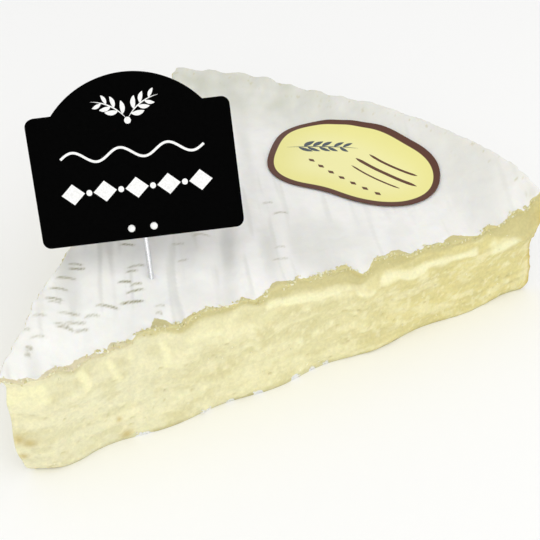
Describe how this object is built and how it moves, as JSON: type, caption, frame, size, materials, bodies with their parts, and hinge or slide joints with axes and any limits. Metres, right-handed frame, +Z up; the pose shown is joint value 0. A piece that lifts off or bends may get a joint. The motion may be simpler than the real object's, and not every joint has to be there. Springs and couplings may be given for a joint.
{
  "type": "brie wedge",
  "caption": "Wedge of soft white-rinded cheese cut from a flat wheel, with an oval paper label on the rind and a small black counter sign on a steel pin.",
  "frame": {"origin": "on the flat base, at the centre of area of the wheel's sector", "axes": "+Z up; +X along the front cut, from the wedge's tip to the rim; the front cut faces -Y"},
  "size_m": [0.1641, 0.1307, 0.0869],
  "materials": {
    "cheese": "white bloomy rind over soft cream-yellow paste",
    "label_paper": "cream-yellow coated paper with a dark brown border",
    "sign_black": "satin black",
    "steel": "bright drawn wire",
    "rivet_white": "white enamel"
  },
  "bodies": {
    "root": {"cheese_wedge": "cheese", "paper_label": "label_paper", "sign_board": "sign_black", "sign_pin": "steel", "sign_rivet_left": "rivet_white", "sign_rivet_right": "rivet_white"}
  },
  "joints": []
}
